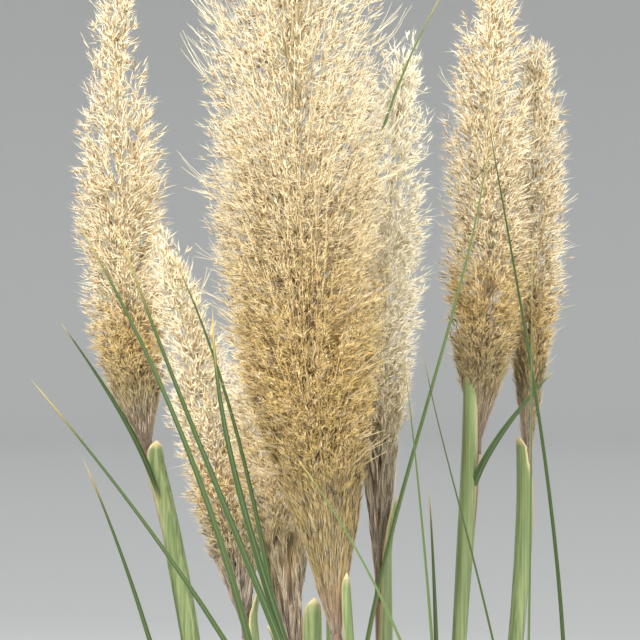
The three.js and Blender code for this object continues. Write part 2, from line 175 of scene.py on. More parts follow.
# %% Husks and hairs
HUSK = np.array([[0, 2, 1], [0, 3, 2], [0, 1, 3], [1, 2, 3]])
HAIR = np.array([[0, 2, 1], [3, 0, 1], [3, 1, 2], [3, 2, 0]])


def husks(foot, along, length, width, side):
    """Pointed husks: a keel from foot to tip, and two shoulders a third of the way up. The shoulders lie to
    either side, and are set back from the keel by a quarter of the width. Returns points and triangles."""
    side = square_to(along, side)
    back = np.cross(along, side)
    middle = foot + along * (0.36 * length)[:, None] + back * (0.25 * width)[:, None]
    shoulder = side * (0.5 * width)[:, None]
    tip = foot + along * length[:, None]
    points = np.stack([foot, tip, middle + shoulder, middle - shoulder], 1)
    return points.reshape(-1, 3), repeated(HUSK, 4, len(foot))


def hairs(foot, along, length, width):
    """Straight hairs: a triangle at the foot, square to the hair, that runs out to a point. Returns points
    and triangles."""
    side = unit(np.cross(crosswise(along), along))
    up = np.cross(along, side)
    ring = np.cos(turns(3))[:, None] * side[:, None] + np.sin(turns(3))[:, None] * up[:, None]
    base = foot[:, None] + ring * (width / 2)[:, None, None]
    tip = foot + along * length[:, None]
    points = np.concatenate([base, tip[:, None]], 1)
    return points.reshape(-1, 3), repeated(HAIR, 4, len(foot))


print("triangles of a husk and of a hair", len(HUSK), len(HAIR))


# %% One mesh from arrays
def volume(points, triangles):
    """A sixth of the sum of a . (b x c) over the triangles."""
    a, b, c = (points[triangles[:, i]] for i in range(3))
    return float((a * np.cross(b, c)).sum() / 6)


def in_scene(name, data):
    """An object at the origin of the scene that shows a mesh, a lamp or a camera."""
    made = bpy.data.objects.new(name, data)
    bpy.context.scene.collection.objects.link(made)
    return made


def piece(name, material, slot, nodes, points, triangles, **values):
    """A mesh object in metres from points in millimetres. Each extra array becomes a value on the
    points."""
    mesh = bpy.data.meshes.new(name)
    mesh.vertices.add(len(points))
    mesh.vertices.foreach_set("co", (points * MM).astype(np.float32).ravel())
    mesh.loops.add(triangles.size)
    mesh.loops.foreach_set("vertex_index", triangles.astype(np.int32).ravel())
    mesh.polygons.add(len(triangles))
    mesh.polygons.foreach_set("loop_start", np.arange(0, triangles.size, 3, dtype=np.int32))
    mesh.update(calc_edges=True)
    mesh.shade_smooth()
    for key, array in values.items():
        stored = mesh.attributes.new(key, "FLOAT", "POINT")
        stored.data.foreach_set("value", array.astype(np.float32).ravel())
    mesh.materials.append(material)
    made = in_scene(name, mesh)
    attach(made, "root")
    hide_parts(*nodes)
    print(f"{name}: {len(triangles)} triangles, {volume(points, triangles) / 1000:.1f} cm3")
    return made


def join(*parts):
    """Joins point and triangle arrays, and their values, into one set."""
    start = np.cumsum([0] + [len(part["points"]) for part in parts])
    joined = {key: np.concatenate([part[key] for part in parts]) for key in parts[0] if key != "triangles"}
    joined["triangles"] = np.concatenate([part["triangles"] + first for part, first in zip(parts, start)])
    return joined


# %% [markdown]
# ## Finishes
# Four kinds of finish cover the plant: plume, leaf, stem and crown. Painted pictures could colour it, but a
# formula stays sharp at any size. So a value stored on each point says where it lies on its piece, and
# shader nodes turn that into colour. The plume's fade from a mauve-brown foot through gold to a cream top
# is used by florets, hairs and branches alike, and dry fibres by stems and crown, so each is one node
# group, placed with its own values.

# %% Node tools
def colour(red, green, blue):
    """A display colour, 0 to 255, as the linear values that shaders use."""
    c = np.array([red, green, blue]) / 255
    linear = np.where(c <= 0.04045, c / 12.92, ((c + 0.055) / 1.055) ** 2.4)
    return (*map(float, linear), 1.0)


def feed(tree, socket, source):
    """Links a socket to a source, or sets it to a number or colour. None leaves it as it is."""
    if isinstance(source, bpy.types.NodeSocket):
        tree.links.new(source, socket)
    elif source is not None:
        socket.default_value = source


def node(tree, kind, *sources, **settings):
    """Adds a node. Sources fill its inputs in order."""
    made = tree.nodes.new(kind)
    for key, value in settings.items():
        setattr(made, key, value)
    for socket, source in zip(made.inputs, sources):
        feed(tree, socket, source)
    return made


def maths(tree, operation, *sources):
    """The result of one Math node."""
    return node(tree, "ShaderNodeMath", *sources, operation=operation).outputs[0]


def ramp(tree, value, low, high):
    """0 below low, 1 above high, and a smooth step between."""
    made = node(tree, "ShaderNodeMapRange", value, low, high, 0.0, 1.0, interpolation_type="SMOOTHSTEP")
    return made.outputs[0]


def mix(tree, share, first, second):
    """A blend of two colours. On this node they are the inputs 6 and 7, and the colour is the output 2."""
    made = node(tree, "ShaderNodeMix", share, data_type="RGBA", clamp_factor=True)
    feed(tree, made.inputs[6], first)
    feed(tree, made.inputs[7], second)
    return made.outputs[2]


def value_of(tree, name):
    """The value that the mesh stores under a name."""
    return node(tree, "ShaderNodeAttribute", attribute_name=name).outputs["Fac"]


print("mid grey is", [round(part, 3) for part in colour(128, 128, 128)])


# %% Node groups and materials
def group(name, inputs, outputs):
    """An empty node group with named sockets, and its two end nodes."""
    tree = bpy.data.node_groups.new(name, "ShaderNodeTree")
    for way, sockets in (("INPUT", inputs), ("OUTPUT", outputs)):
        for key, kind in sockets.items():
            tree.interface.new_socket(key, in_out=way, socket_type="NodeSocket" + kind)
    return tree, tree.nodes.new("NodeGroupInput").outputs, tree.nodes.new("NodeGroupOutput").inputs


def use(tree, shared, **sources):
    """Places a node group in a material and fills its named inputs."""
    made = tree.nodes.new("ShaderNodeGroup")
    made.node_tree = shared
    for key, source in sources.items():
        feed(tree, made.inputs[key], source)
    return made.outputs


def finish_of(name, **numbers):
    """A new material with its Principled shader. Plain numbers are set on the shader's own sockets."""
    material = bpy.data.materials.new(name)
    material.use_nodes = True
    shader = material.node_tree.nodes["Principled BSDF"]
    for key, number in numbers.items():
        shader.inputs[key.replace("_", " ")].default_value = number
    return material, material.node_tree, shader


def dress(tree, shader, skin, height, strength, distance):
    """Feeds a colour to the shader, and a height as bumps this many metres deep."""
    feed(tree, shader.inputs["Base Color"], skin)
    bump = node(tree, "ShaderNodeBump", strength, distance)
    feed(tree, bump.inputs["Height"], height)
    feed(tree, shader.inputs["Normal"], bump.outputs[0])
    print(shader.id_data.name, "finish", len(tree.nodes), "nodes")


# %% The fade along a plume
fade, given, gives = group(
    "along_the_plume",
    {**dict.fromkeys(("Share", "Tone", "Depth", "Rich", "Contrast"), "Float"),
     **dict.fromkeys(("Foot", "Low", "Middle", "Top"), "Color")},
    {"Colour": "Color"},
)
low = mix(fade, ramp(fade, given["Share"], 0.02, 0.16), given["Foot"], given["Low"])
middle = mix(fade, ramp(fade, given["Share"], 0.14, 0.46), low, given["Middle"])
high = mix(fade, ramp(fade, given["Share"], 0.42, 0.74), middle, given["Top"])
spread = maths(fade, "MULTIPLY", maths(fade, "SUBTRACT", given["Tone"], 0.5), given["Contrast"])
darker = maths(fade, "ADD", maths(fade, "MINIMUM", spread, 0.0), 1.0)
# Painted shade: the colour darkens by up to 14 per cent towards the plume's axis, as Depth falls, for the
# shade deep inside the plume.
inner = maths(fade, "MULTIPLY_ADD", ramp(fade, given["Depth"], 0.1, 0.9), 0.14, 0.86)
shade = maths(fade, "MULTIPLY", darker, inner)
tinted = node(fade, "ShaderNodeHueSaturation", 0.5, given["Rich"], shade, 1.0, high).outputs[0]
paler = mix(fade, maths(fade, "MAXIMUM", spread, 0.0), tinted, colour(252, 240, 208))
feed(fade, gives["Colour"], paler)
print("fade", len(fade.nodes), "nodes")


# %% Plume finishes
def plume_finish(name, foot, low, middle, top, roughness, contrast):
    """A finish that takes four display colours in turn from the plume's foot to its top."""
    material, tree, shader = finish_of(name, Roughness=roughness, Sheen_Weight=0.25, Sheen_Roughness=0.5)
    values = {key.title(): value_of(tree, key) for key in ("share", "tone", "depth", "rich")}
    made = use(tree, fade, **values, Contrast=contrast, Foot=colour(*foot), Low=colour(*low),
               Middle=colour(*middle), Top=colour(*top))
    feed(tree, shader.inputs["Base Color"], made["Colour"])
    return material


FLORET = plume_finish("floret_gold", (140, 114, 93), (142, 120, 62), (198, 161, 72), (206, 166, 102),
                      roughness=0.6, contrast=1.35)
SILK = plume_finish("silky_hair", (172, 149, 125), (180, 156, 94), (222, 189, 108), (255, 243, 204),
                    roughness=0.45, contrast=0.5)
BRANCH = plume_finish("plume_branch", (134, 106, 88), (160, 132, 88), (190, 160, 104), (220, 200, 150),
                      roughness=0.5, contrast=0.7)
print("plume finishes", FLORET.name, SILK.name, BRANCH.name)

# %% Dry fibres
sockets = dict.fromkeys(("Across", "Along", "Detail"), "Float")
fibres, given, gives = group("upright_fibres", sockets, {"Grain": "Float"})
place = node(fibres, "ShaderNodeTexCoord").outputs["Object"]
scale = node(fibres, "ShaderNodeCombineXYZ", given["Across"], given["Across"], given["Along"]).outputs[0]
stretched = node(fibres, "ShaderNodeMapping", place, None, None, scale).outputs[0]
grain = node(fibres, "ShaderNodeTexNoise", stretched, None, 1.0, given["Detail"]).outputs[0]
feed(fibres, gives["Grain"], grain)
print("fibres", len(fibres.nodes), "nodes")

# %% [markdown]
# ## The plumes
# A real plume is a rachis with hundreds of side branches. Each branch leaves the rachis steeply, bends
# outwards and carries spikelets on short stalks, and each spikelet is a few chaffy florets with a tuft of
# silk at their feet. So a plume is built in that order: branches as curves, then spikelets a few millimetres
# off the branches, then florets and hairs on the spikelets. A texture on a smooth body was the other way,
# but it has no ragged, feathery edge.

# %% The plume's axis and outline
SWAY_AT, SWAY_SPREAD = 0.22, 0.12


def on_axis(plume, u):
    """Point and direction at share u of a plume's axis: (1-u)^2 A + 2(1-u) u B + u^2 C, and its slope. A
    sway to the side is added low on it, as a bell round SWAY_AT. Past the ends the axis runs on
    straight."""
    a, b, c = (np.array(plume[key], float) for key in ("base", "bend", "tip"))
    u = np.asarray(u, float)[..., None]
    v = np.clip(u, 0, 1)
    slope = 2 * (1 - v) * (b - a) + 2 * v * (c - b)
    point = (1 - v) ** 2 * a + 2 * (1 - v) * v * b + v**2 * c
    sway = np.array([plume.get("sway", 0.0), 0, 0]) * np.exp(-(((v - SWAY_AT) / SWAY_SPREAD) ** 2))
    slope = slope - sway * 2 * (v - SWAY_AT) / SWAY_SPREAD**2
    return point + sway + (u - v) * slope, unit(slope)


def axis_length(plume):
    """The sum of 59 short steps along the axis."""
    points = on_axis(plume, np.linspace(0, 1, 60))[0]
    return float(np.linalg.norm(np.diff(points, axis=0), axis=1).sum())


def outline(plume, u):
    """Radius at share u: the stem's radius plus a swell 1 - exp(-(u / rise)^1.7), closed at the top, where
    the last fifth draws in to a soft point."""
    u = np.clip(u, 0, 1)
    swell = 1 - np.exp(-((u / plume["rise"]) ** 1.7))
    close = np.maximum(0, 1 - u ** plume["fall"]) ** 0.6 * (1 - 0.6 * np.clip((u - 0.8) / 0.2, 0, 1) ** 1.3)
    return STEM["top"] + (plume["radius"] - STEM["top"]) * swell * close


def beside(plume, u, azimuth, distance):
    """A point off the axis: at share u, at an azimuth round it, at a distance."""
    point, up = on_axis(plume, u)
    side = unit(EAST - up[..., :1] * up)
    front = np.cross(up, side)
    turned = np.cos(azimuth)[..., None] * side + np.sin(azimuth)[..., None] * front
    return point + turned * np.asarray(distance)[..., None]


print("front plume", round(axis_length(PLUMES[0])), "mm long")

# %% Branches
GOLDEN = np.pi * (3 - 5**0.5)
CROWDED = 6
AIRY = 0.72


def branch_corners(plume, count, chance):
    """Four corners of each branch's curve. It starts on the axis, swings out and ends near the outline. The
    tips step evenly up the plume and turn by the golden angle, so that they fill the outline without rows.
    Two waves round and up the plume push them in and out into tufts. One branch in CROWDED stays at the
    foot. Above the share AIRY, more and more of the tips are moved lower down, so that the top lets light
    through."""
    length, crowd = axis_length(plume), count // CROWDED
    even = (np.arange(count) - crowd + chance.uniform(0, 1, count)) / (count - crowd)
    top = np.where(even < 0, chance.uniform(0.02, 0.22, count), 0.1 + 0.885 * even)
    moved = (top > AIRY) & (chance.uniform(0, 1, count) < np.interp(top, [AIRY, 0.9], [0.15, 0.5]))
    top = np.where(moved, chance.uniform(0.2, AIRY, count), top)
    azimuth = np.arange(count) * GOLDEN + chance.normal(0, 0.15, count)
    span = (22 + 0.8 * plume["radius"]) / length * chance.uniform(0.65, 1.35, count)
    u = np.maximum(top - span, chance.uniform(-0.006, 0.03, count))
    span = top - u
    limit = outline(plume, top)
    first, second = chance.uniform(0, 2 * np.pi, 2)
    tuft = 0.6 * np.sin(3 * azimuth + 25 * top + first) + 0.4 * np.sin(5 * azimuth - 44 * top + second)
    wide = np.maximum(limit - 2, 0.6 * limit) * chance.uniform(0.9, 1.04, count) * (1 + 0.07 * tuft)
    bow, twist = chance.uniform(0.3, 0.5, count), chance.normal(0, 0.14, count)
    low, high = 0.9 * outline(plume, u + 0.3 * span), 0.95 * outline(plume, u + 0.66 * span)
    return np.stack([
        beside(plume, u, azimuth, 0 * u),
        beside(plume, u + 0.3 * span, azimuth + 0.2 * twist, np.minimum(0.34 * wide, low)),
        beside(plume, u + 0.66 * span, azimuth + 0.6 * twist, np.minimum((0.5 + 0.6 * bow) * wide, high)),
        beside(plume, top, azimuth + twist, wide),
    ], 1)


sample = branch_corners(PLUMES[0], 4, np.random.default_rng(0))
print("four tips of the front plume", sample[:, 3].round().tolist())


# %% Where a point lies in a plume
def share_and_depth(plume, points):
    """Share of the plume's length, and distance from its axis over the outline's radius, of each point."""
    steps = np.linspace(0, 1, 400)
    axis = on_axis(plume, steps)[0]
    u = np.interp(points[..., 2], axis[:, 2], steps)
    away = np.linalg.norm((points - on_axis(plume, u)[0])[..., :2], axis=-1)
    return u, away / np.maximum(outline(plume, u), STEM["top"])


def meridian(plume, share, depth, outward):
    """The direction that runs up the plume's foot without crossing its surface: the axis's direction, plus
    the slope of the outline, as much of it as the depth says."""
    slope = (outline(plume, share + 0.01) - outline(plume, share - 0.01)) / (0.02 * axis_length(plume))
    return unit(on_axis(plume, share)[1] + outward * (depth * slope)[..., None])


print("share and depth of a tip", [round(float(v), 2) for v in share_and_depth(PLUMES[0], sample[0, 3])])


# %% Spikelets on the branches
def spikelet_feet(plume, corners, each, streaks, chance):
    """Feet of the spikelets, the branch's direction there, and how far along the branch they are. Most sit
    on its outer half. Each stands off the branch by a few millimetres, less below the share `streaks`, and
    stays inside the outline by about its own reach."""
    step = (np.arange(each) + chance.uniform(0, 1, (len(corners), each))) / each
    t = 0.1 + 0.9 * step**0.55
    foot, along = curves(corners, t)
    above = share_and_depth(plume, foot)[0] - streaks
    loose = np.interp(above, [-0.2, -0.06, 0.1], [0.12, 0.4, 1.0])[..., None]
    foot = foot + loose * (2.2 + 0.035 * plume["radius"]) * chance.normal(0, 1, foot.shape) * [1, 1, 1.5]
    share, depth = share_and_depth(plume, foot)
    reach = np.interp(share - streaks, [-0.3, -0.1, 0.06, 0.25], [1.5, 2.0, 3.0, -4.0])
    most = np.maximum(1 - reach / outline(plume, share), 0.5)
    axis = on_axis(plume, share)[0]
    foot = axis + (foot - axis) * (np.minimum(depth, most) / np.maximum(depth, 0.001))[..., None]
    return foot, along, t, share, np.minimum(depth, most), axis


def spikelets(plume, corners, each, streaks, chance):
    """Feet and directions of the spikelets, the ways outwards and round the axis there, and how far along
    the branch they are. Above the share `streaks` each points on along the branch and outwards, and strays
    by itself and with its branch. Below that it lies along the plume's foot."""
    foot, along, t, share, depth, axis = spikelet_feet(plume, corners, each, streaks, chance)
    above = share - streaks
    outward = unit((foot - axis) * [1, 1, 0])
    round_axis = np.cross(UP, outward)
    close = np.interp(above, [-0.05, 0.06], [1, 0])[..., None]
    along = unit(along * (1 - close) + meridian(plume, share, depth, outward) * close)
    push = np.interp(above, [-0.02, 0.04, 0.14, 0.28, 0.44, 0.8], [0.0, 0.3, 0.85, 1.0, 0.65, 0.3])
    push = push * np.interp(share, [0.8, 1], [1, 0])
    outward = outward * (push * np.clip(depth, 0, 1) ** 0.7)[..., None]
    wild = np.interp(above, [-0.2, -0.04, 0.05], [0.06, 0.11, 0.4])[..., None]
    stray = 0.7 * chance.normal(0, 1, foot.shape) + 0.8 * chance.normal(0, 1, (len(corners), 1, 3))
    lean = unit(along + outward + wild * stray)
    return [array.reshape(-1, 3) for array in (foot, lean, outward, round_axis)] + [t.ravel()]


# %% Florets and silk
FLORETS_EACH, FLORET_STEP, FLORET_LONG = 2, 2.6, (5.4, 8.6)
SILK_EACH, SILK_STEP, SILK_LONG = 2, 1.5, (6.5, 12.5)


def along_spikelet(foot, lean, size, each, step):
    """Points that step up each spikelet."""
    return foot[:, None] + lean[:, None] * (np.arange(each) * step * size[:, None])[..., None]


def floret_arrays(foot, lean, round_axis, size, depth, loose, dark, chance):
    """Florets step up each spikelet, each turned a little to its own side. Dark ones and inner ones are
    broader. Those on the plume's foot are longer, and lie flat on it."""
    base = along_spikelet(foot, lean, size, FLORETS_EACH, FLORET_STEP)
    aim = unit(lean[:, None] + 0.22 * loose[:, None, None] * chance.normal(0, 1, base.shape))
    long = size[:, None] * chance.uniform(*FLORET_LONG, base.shape[:2]) * (2.2 - 1.2 * loose[:, None])
    inner = np.interp(depth, [0, 0.5, 0.9], [2.2, 1.6, 1.0])[:, None]
    wide = size[:, None] * chance.uniform(0.75, 1.15, base.shape[:2]) * (1 + 0.3 * dark) * inner
    flat = 1.6 * (1 - loose[:, None, None]) * round_axis[:, None]
    side = flat + np.maximum(loose, 0.4)[:, None, None] * chance.normal(0, 1, base.shape)
    return husks(base.reshape(-1, 3), aim.reshape(-1, 3), long.ravel(), wide.ravel(), side.reshape(-1, 3))


def silk_arrays(foot, lean, outward, size, depth, width, loose, chance):
    """Hairs spread from the feet of the florets, wider and further outwards than the florets do. Inner ones
    are broader, those on the plume's foot are longer, and a few of the others stand far out."""
    base = along_spikelet(foot, lean, size, SILK_EACH, SILK_STEP)
    stray = 0.4 * loose[:, None, None] * chance.normal(0, 1, base.shape)
    aim = unit(lean[:, None] + 0.35 * outward[:, None] + stray)
    long = size[:, None] * chance.uniform(*SILK_LONG, base.shape[:2]) * (2.0 - loose[:, None])
    long = long * np.where(chance.uniform(0, 1, base.shape[:2]) < 0.06 * loose[:, None], 1.7, 1.0)
    wide = width * np.interp(depth, [0, 0.5, 0.9], [3.0, 2.0, 1.0])
    return hairs(base.reshape(-1, 3), aim.reshape(-1, 3), long.ravel(), np.repeat(wide, SILK_EACH))


print("florets and hairs on a spikelet", FLORETS_EACH, SILK_EACH)


# %% Awns, branches and rachis
AWN_RADII, BRANCH_RADII = (0.25, 0.09), (0.42, 0.16)
CORE = 0.5


def threads(corners, foot, tip):
    """Curves as thin tubes of three sides that taper from foot to tip."""
    paths, _ = curves(corners, np.linspace(0, 1, 4))
    return tubes(paths, np.linspace(foot, tip, 4)[None] * np.ones((len(corners), 1)), 3)


def awn_corners(plume, count, lowest, chance):
    """Fine awns that stand out past the outline in threes: almost level at the plume's middle, upwards at
    its foot and top, and shorter at the very top. None grows below the share `lowest`."""
    tufts = count // 3
    u = np.repeat(chance.uniform(lowest, 0.98, tufts), 3)
    azimuth = np.repeat(chance.uniform(0, 2 * np.pi, tufts), 3)
    run = np.repeat(chance.uniform(6, 6 + 0.28 * plume["radius"], tufts), 3)
    run = run * chance.uniform(0.7, 1.1, len(u))
    run = run * np.interp(u, [0.85, 1], [1, 0.3])
    steep = np.interp(u, [0.1, 0.3, 0.5, 0.7, 1], [1.6, 0.5, 0.45, 0.9, 1.2])
    steep = steep * np.repeat(chance.uniform(0.4, 1.4, tufts), 3) + chance.normal(0, 0.14, len(u))
    rise = run * steep / axis_length(plume)
    wide = outline(plume, u) * np.repeat(chance.uniform(0.82, 1.0, tufts), 3)
    azimuth = azimuth + chance.normal(0, 0.03, len(u))
    turn = chance.normal(0, 0.06, len(u))
    return np.stack([
        beside(plume, u, azimuth, wide),
        beside(plume, u + 0.28 * rise, azimuth, wide + 0.4 * run),
        beside(plume, u + 0.65 * rise, azimuth + 0.4 * turn, wide + 0.75 * run),
        beside(plume, u + chance.uniform(0.8, 1.2, len(u)) * rise, azimuth + turn, wide + run),
    ], 1)


def rachis_rings(plume, streaks):
    """The rachis as one tube that tapers. In the plume's foot it stands for the whole bundle of closed
    branches, and fills the outline to the share CORE."""
    foot, top = np.linspace(-0.002, streaks + 0.02, 16), np.linspace(streaks + 0.08, 0.95, 12)
    u = np.concatenate([foot, top])
    bundle = CORE * outline(plume, u) * np.interp(u - streaks, [-0.1, -0.05, 0, 0.02], [1, 0.9, 0.5, 0])
    thread = np.interp(u, [0, 0.15, 0.95], [STEM["top"], 2.0, 0.6])
    return tubes(on_axis(plume, u)[0][None], np.maximum(bundle, thread)[None], 12)


print("rings of a rachis", rachis_rings(PLUMES[0], 0.3).shape[1])

# %% Numbers for each plume
# Branches, spikelets on each, size of a floret, width of a hair, count of awns, the share of the length that
# is a streaky foot, the shares where the foot's brown ends and where full cream begins, how much paler the
# plume is, how rich its colours are, and how much they vary and how strong the painted shade on the foot is.
GROWTH_KEYS = ("branches", "each", "size", "hair", "awns", "streaks", "fade", "pale", "rich", "mottle_and_shade")
GROWTH = [
    (1400, 16, 1.0, 0.46, 1200, 0.3, (0.12, 0.74), 0.0, 1.04, 0.85),
    (180, 14, 1.12, 0.55, 60, 0.4, (0.3, 0.8), 0.45, 0.95, 0.45),
    (220, 14, 1.12, 0.6, 72, 0.24, (0.24, 0.58), 0.3, 0.85, 0.45),
    (338, 14, 1.12, 0.6, 90, 0.24, (0.2, 0.5), 0.05, 0.95, 0.45),
    # The fifth plume's high paleness is partly its own paler colour and partly painted light that lifts it
    # out of the front plume's shadow.
    (290, 14, 1.12, 0.58, 90, 0.34, (0.28, 0.5), 1.5, 1.05, 0.45),
    (355, 14, 1.12, 0.58, 99, 0.2, (0.15, 0.55), 0.05, 0.95, 0.55),
    (265, 14, 1.12, 0.58, 72, 0.22, (0.16, 0.5), 0.1, 0.95, 0.55),
]
SLOTS = 7
DARK_SHARE, DARK_TONES, LIGHT_TONES = 0.32, (0.0, 0.22), (0.4, 0.95)
print("spikelets", sum(row[0] * row[1] for row in GROWTH))


# %% Grow the plumes
def painted_slot_shade(plume, points, above):
    """Painted shade where a plume's foot shows dark between its locks: narrow bands round the axis that run
    up it in waves, and fade out above the foot."""
    away = points - on_axis(plume, share_and_depth(plume, points)[0])[0]
    turn = np.arctan2(away[:, 1], away[:, 0]) / (2 * np.pi) * SLOTS + 0.12 * np.sin(above * 40)
    band = np.exp(-(((turn % 1 - 0.5) / 0.11) ** 2))
    return band * np.interp(above, [-0.3, -0.1, 0.04], [0.3, 0.8, 0.0])


def grow(number, plume, plan):
    """Makes the three pieces of a plume: florets, silk, and branches with the awns and the rachis.
    `own_tone` is shared by a branch. It is paler up the plume, and darker in a ring at the foot's end and in
    its slots. The ring and the slots are painted shade, and part of the fifth plume's paleness is painted
    light against the front plume's shadow."""
    chance = np.random.default_rng(100 + number)
    corners = branch_corners(plume, plan["branches"], chance)
    foot, lean, outward, round_axis, t = spikelets(plume, corners, plan["each"], plan["streaks"], chance)
    share, depth = share_and_depth(plume, foot)
    above = share - plan["streaks"]
    loose = np.interp(above, [-0.12, 0.05], [0, 1])
    own_tone = np.repeat(chance.uniform(-0.12, 0.12, plan["branches"]), plan["each"])
    size = plan["size"] * (1.05 - 0.2 * t) * chance.uniform(0.85, 1.15, len(foot))

    def faded(share):
        """The way through the fade: the plan's two shares stand for a tenth and three quarters of it."""
        return np.interp(share, [0, *plan["fade"], 1], [0, 0.1, 0.74, 1])

    def make(kind, material, tone, points, triangles, **values):
        """One piece of the plume, with the values that its finish reads."""
        share, depth = share_and_depth(plume, points)
        values = {"share": faded(share), "depth": depth, **values}
        piece(f"plume_{number}_{kind}", material, "plume", [f"plume_{number}"], points, triangles, tone=tone,
              rich=1 - (1 - plan["rich"]) * (1 - faded(share)), **values)

    # Paleness up the plume; for the fifth plume part of it is painted light against the front plume's
    # shadow.
    own_tone = own_tone + plan["pale"] * (0.15 + 0.85 * faded(share))
    # Painted shade: a dark ring where the streaky foot ends, and dark slots between the foot's locks, taken
    # off the tone.
    shadow = 0.14 * np.exp(-((above / 0.06) ** 2)) + 0.6 * painted_slot_shade(plume, foot, above)
    own_tone = own_tone - plan["mottle_and_shade"] * shadow
    dark = chance.uniform(0, 1, (len(foot), FLORETS_EACH)) < DARK_SHARE
    points, triangles = floret_arrays(foot, lean, round_axis, size, depth, loose, dark, chance)
    tone = np.where(dark, chance.uniform(*DARK_TONES, dark.shape), chance.uniform(*LIGHT_TONES, dark.shape))
    tone = 0.5 + plan["mottle_and_shade"] * (tone - 0.5) * (0.35 + 0.65 * loose)[:, None] + own_tone[:, None]
    make("florets", FLORET, np.repeat(tone.ravel(), 4), points, triangles,
         share=np.repeat(faded(share), FLORETS_EACH * 4), depth=np.repeat(depth, FLORETS_EACH * 4))

    points, triangles = silk_arrays(foot, lean, outward, size, depth, plan["hair"], loose, chance)
    make("silk", SILK, np.repeat(0.5 + 1.5 * own_tone, SILK_EACH * 4), points, triangles)

    awns = skinned(threads(awn_corners(plume, plan["awns"], plan["streaks"], chance), *AWN_RADII))
    twigs = skinned(threads(corners, *np.multiply(BRANCH_RADII, plan["size"])))
    made = join(awns, twigs, skinned(rachis_rings(plume, plan["streaks"])))
    order, twigs_end = np.arange(len(made["points"])), len(awns["points"]) + len(twigs["points"])
    pale = faded(share_and_depth(plume, made["points"])[0]) * (order < len(awns["points"]))
    tone = chance.uniform(0.3, 0.7, len(order)) + pale - 0.4 * (order >= twigs_end)
    make("branches", BRANCH, tone, **made)


for number, (plume, row) in enumerate(zip(PLUMES, GROWTH), 1):
    grow(number, plume, dict(zip(GROWTH_KEYS, row)))

# %% [markdown]
# ## Leaves
# A blade is a long ribbon, folded into a shallow V with a thick midrib below, and it tapers for most of its
# length. It leaves its tiller steeply and bends over under its own weight. A flat strip with a Solidify
# modifier would be quicker, but it has no fold and no rib. The blades of the solid model are repeated here
# from the same seeded numbers, as finer ribbons, and many thinner ones fill the tuft between them.

# %% Marks on a blade
blade_marks, given, gives = group(
    "blade_marks",
    dict.fromkeys(("Across", "Along", "Tint"), "Float"),
    dict.fromkeys(("Rib", "Edge", "Streak", "Height"), "Float"),
)
off_middle = maths(blade_marks, "ABSOLUTE", given["Across"])
rib = maths(blade_marks, "SUBTRACT", 1.0, ramp(blade_marks, off_middle, 0.03, 0.2))
edge = ramp(blade_marks, off_middle, 0.8, 0.98)
cells = [maths(blade_marks, "MULTIPLY", given[key], scale)
         for key, scale in (("Across", 9.0), ("Along", 7.0), ("Tint", 90.0))]
place = node(blade_marks, "ShaderNodeCombineXYZ", *cells).outputs[0]
streak = node(blade_marks, "ShaderNodeTexNoise", place, None, 1.0, 3.0).outputs[0]
veins = maths(blade_marks, "SINE", maths(blade_marks, "MULTIPLY", given["Across"], 34.0))
for key, source in (("Rib", rib), ("Edge", edge), ("Streak", streak), ("Height", veins)):
    feed(blade_marks, gives[key], source)
print("blade marks", len(blade_marks.nodes), "nodes")


# %% Leaf finish
def over(tree, share, strength, below, *shade):
    """A colour laid over another, as strongly as the share and the strength say."""
    return mix(tree, maths(tree, "MULTIPLY", share, strength), below, colour(*shade))


LEAF, tree, shader = finish_of("leaf_blade", Roughness=0.5, Specular_IOR_Level=0.35)
tint, along = value_of(tree, "tint"), value_of(tree, "along")
marks = use(tree, blade_marks, Across=value_of(tree, "across"), Along=along, Tint=tint)
green = mix(tree, tint, colour(39, 57, 25), colour(94, 111, 64))
green = over(tree, ramp(tree, marks["Streak"], 0.4, 0.65), 0.4, green, 82, 106, 54)
green = over(tree, marks["Rib"], 0.3, green, 126, 144, 88)
green = over(tree, marks["Edge"], 0.25, green, 140, 154, 104)
pale_foot = maths(tree, "SUBTRACT", 1.0, ramp(tree, along, 0.02, 0.22))
green = over(tree, pale_foot, 0.75, green, 190, 182, 128)
tip = ramp(tree, maths(tree, "MULTIPLY_ADD", marks["Streak"], 0.12, along), 0.985, 1.06)
green = mix(tree, tip, green, colour(178, 156, 92))
straw = mix(tree, marks["Streak"], colour(142, 110, 66), colour(206, 178, 122))
dress(tree, shader, mix(tree, value_of(tree, "dry"), green, straw), marks["Height"], 0.35, 0.0002)


# %% Blades as folded ribbons
def blade_width(t):
    """Share of the full width: it grows over the first third, then tapers to a seventh at the tip."""
    return (0.62 + 0.38 * np.minimum(1, t / 0.3)) * (1 - 0.86 * np.maximum(0, (t - 0.3) / 0.7) ** 1.6)


def blade_section(t, width, stations, fold=0.32):
    """Ring of a folded ribbon. The upper line rises to both edges from a middle channel. The lower line
    follows it at the ribbon's thickness, which is greatest at the midrib and thin at the edges. The last
    ring draws in to a point."""
    s = np.linspace(-1, 1, stations)
    half = 0.5 * width[:, None, None] * blade_width(t)[None, :, None]
    half = half * np.where(t > 0.999, 0.15, 1)[None, :, None]
    top = fold * half * np.abs(s) ** 1.25
    thick = 0.12 + 0.4 * (1 - np.abs(s)) ** 0.7 + 0.5 * np.exp(-((s / 0.16) ** 2))
    thick = thick * np.minimum(1, half / 2.2)
    upper = np.stack([half * s, top], -1)
    lower = np.stack([half * s[::-1] * 0.995, (top - thick)[..., ::-1]], -1)
    return np.concatenate([lower[..., ::-1, :], upper[..., ::-1, :]], -2), np.concatenate([s, s[::-1]])


